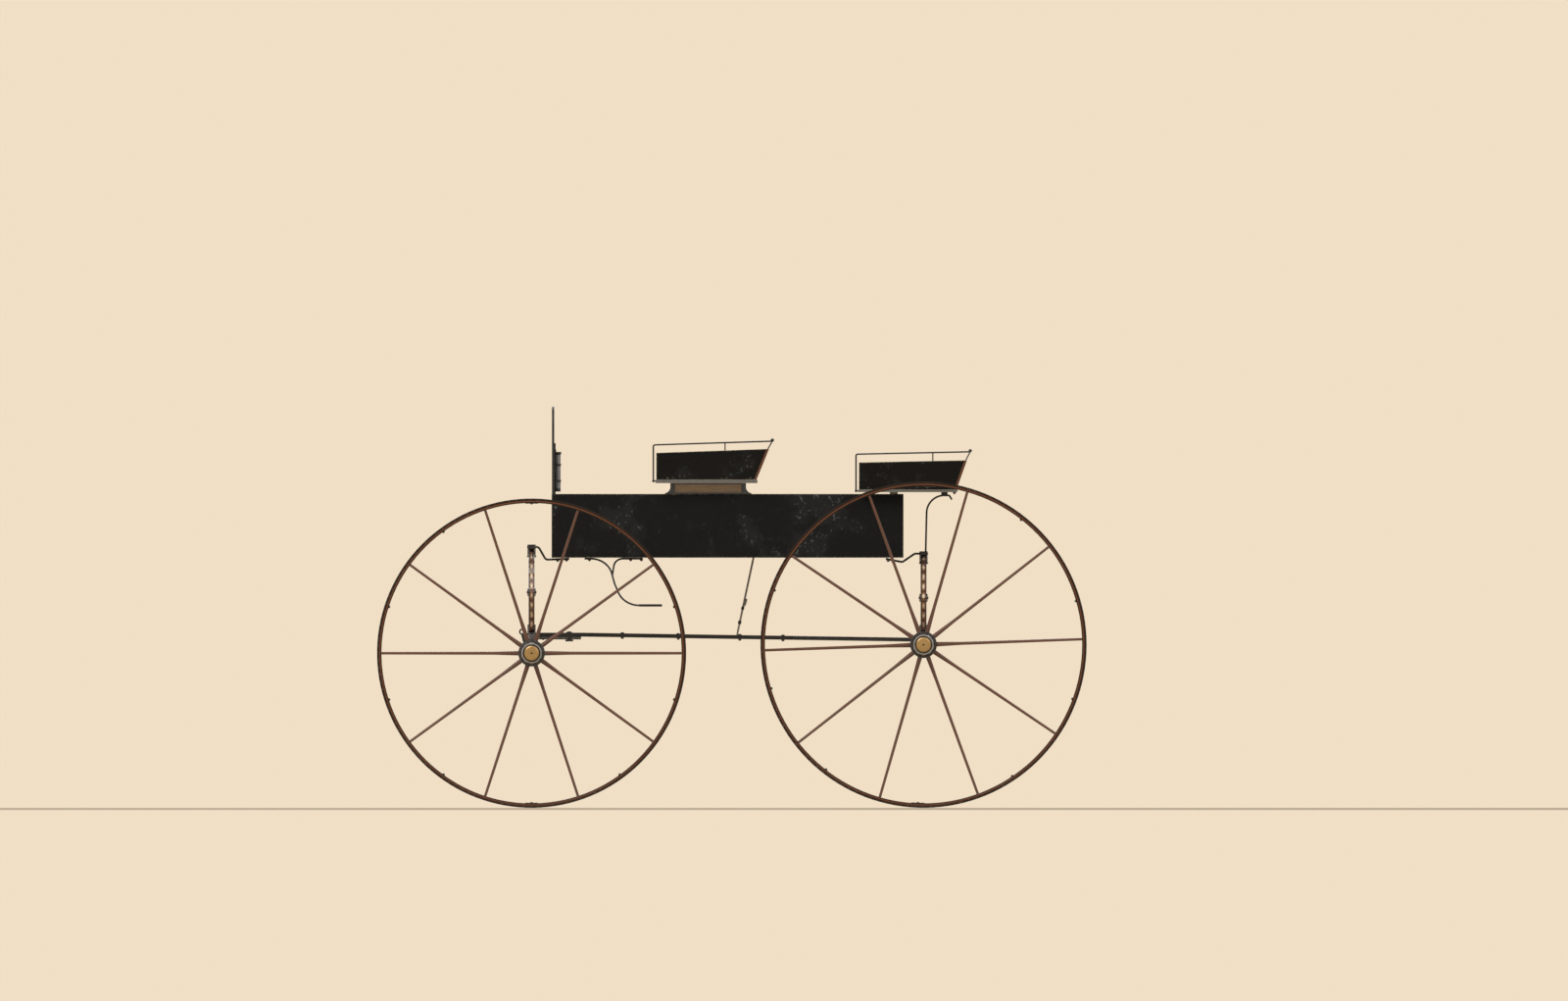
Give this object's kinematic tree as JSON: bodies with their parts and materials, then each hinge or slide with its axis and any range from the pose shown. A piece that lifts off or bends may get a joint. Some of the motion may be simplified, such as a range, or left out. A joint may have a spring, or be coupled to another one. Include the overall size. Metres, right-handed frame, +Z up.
{
  "type": "horse drawn carriage",
  "caption": "Light open box wagon with two railed seats, a tall dash, elliptic springs, a perch, a fifth wheel under the front axle and thin dished spoked wheels.",
  "frame": {"origin": "on the ground under the middle of the whole vehicle", "axes": "+X towards the rear, +Y towards the right side, +Z up; the front faces -X"},
  "size_m": [2.6521, 1.591, 1.4998],
  "materials": {
    "black_body": "gloss black coach paint on wood",
    "floor_wood": "dark oiled boards",
    "seat_board": "grey painted wood edge",
    "riser_wood": "varnished brown wood",
    "black_leather": "black leather",
    "bright_iron": "bright grey iron",
    "black_iron": "black painted iron",
    "cap_nut": "ochre brass cap",
    "spring_steel": "brown painted spring steel",
    "black_gear": "black painted wood",
    "tyre_iron": "worn iron tyre",
    "wheel_wood": "brown painted wood",
    "hub_iron": "dark painted hub with iron flanges"
  },
  "bodies": {
    "carriage": {"side_panel_left": "black_body", "side_panel_right": "black_body", "front_panel": "black_body", "tail_panel": "black_body", "floor_boards": "floor_wood", "dash": "black_leather", "dash_irons": "black_iron", "whip_socket": "bright_iron", "front_seat_risers": "riser_wood", "front_seat_board": "seat_board", "front_seat_panels": "black_body", "front_seat_rail": "black_iron", "front_seat_cushion": "black_leather", "rear_seat_board": "seat_board", "rear_seat_panels": "black_body", "rear_seat_rail": "black_iron", "rear_seat_cushion": "black_leather", "rear_seat_bearers": "seat_board", "rear_seat_irons": "black_iron", "front_body_loops": "black_iron", "rear_body_loops": "black_iron", "front_spring_upper": "spring_steel", "front_spring_lower": "spring_steel", "rear_spring_upper": "spring_steel", "rear_spring_lower": "spring_steel", "front_spring_clips": "black_iron", "rear_spring_clips": "black_iron", "head_block": "bright_iron", "fifth_wheel_upper": "black_iron", "king_bolt": "black_iron", "perch": "black_gear", "perch_stays": "black_iron", "rear_axle_bed": "black_gear", "rear_axle": "black_iron", "rear_axle_nuts": "cap_nut", "check_strap": "black_leather", "step_left": "black_iron", "step_right": "black_iron"},
    "front_gear": {"front_axle": "black_iron", "front_axle_nuts": "cap_nut", "front_axle_bed": "black_gear", "fifth_wheel_lower": "black_iron", "shaft_couplings": "black_iron"},
    "front_left_wheel": {"front_left_tyre": "tyre_iron", "front_left_felloe": "wheel_wood", "front_left_spokes": "wheel_wood", "front_left_hub": "hub_iron"},
    "front_right_wheel": {"front_right_tyre": "tyre_iron", "front_right_felloe": "wheel_wood", "front_right_spokes": "wheel_wood", "front_right_hub": "hub_iron"},
    "rear_left_wheel": {"rear_left_tyre": "tyre_iron", "rear_left_felloe": "wheel_wood", "rear_left_spokes": "wheel_wood", "rear_left_hub": "hub_iron"},
    "rear_right_wheel": {"rear_right_tyre": "tyre_iron", "rear_right_felloe": "wheel_wood", "rear_right_spokes": "wheel_wood", "rear_right_hub": "hub_iron"}
  },
  "joints": [
    {"name": "steering", "type": "hinge", "parent": "carriage", "child": "front_gear", "pos_m": [-0.60735, 0, 0.629], "axis": [0, 0, 1], "range_deg": [-32, 32]},
    {"name": "front_left_spin", "type": "hinge", "parent": "front_gear", "child": "front_left_wheel", "pos_m": [-0.74835, -0.711, 0.5778], "axis": [0, 1, 0], "continuous": true},
    {"name": "front_right_spin", "type": "hinge", "parent": "front_gear", "child": "front_right_wheel", "pos_m": [-0.74835, 0.711, 0.5778], "axis": [0, 1, 0], "continuous": true},
    {"name": "rear_left_spin", "type": "hinge", "parent": "carriage", "child": "rear_left_wheel", "pos_m": [0.71655, -0.711, 0.6096], "axis": [0, 1, 0], "continuous": true},
    {"name": "rear_right_spin", "type": "hinge", "parent": "carriage", "child": "rear_right_wheel", "pos_m": [0.71655, 0.711, 0.6096], "axis": [0, 1, 0], "continuous": true}
  ]
}
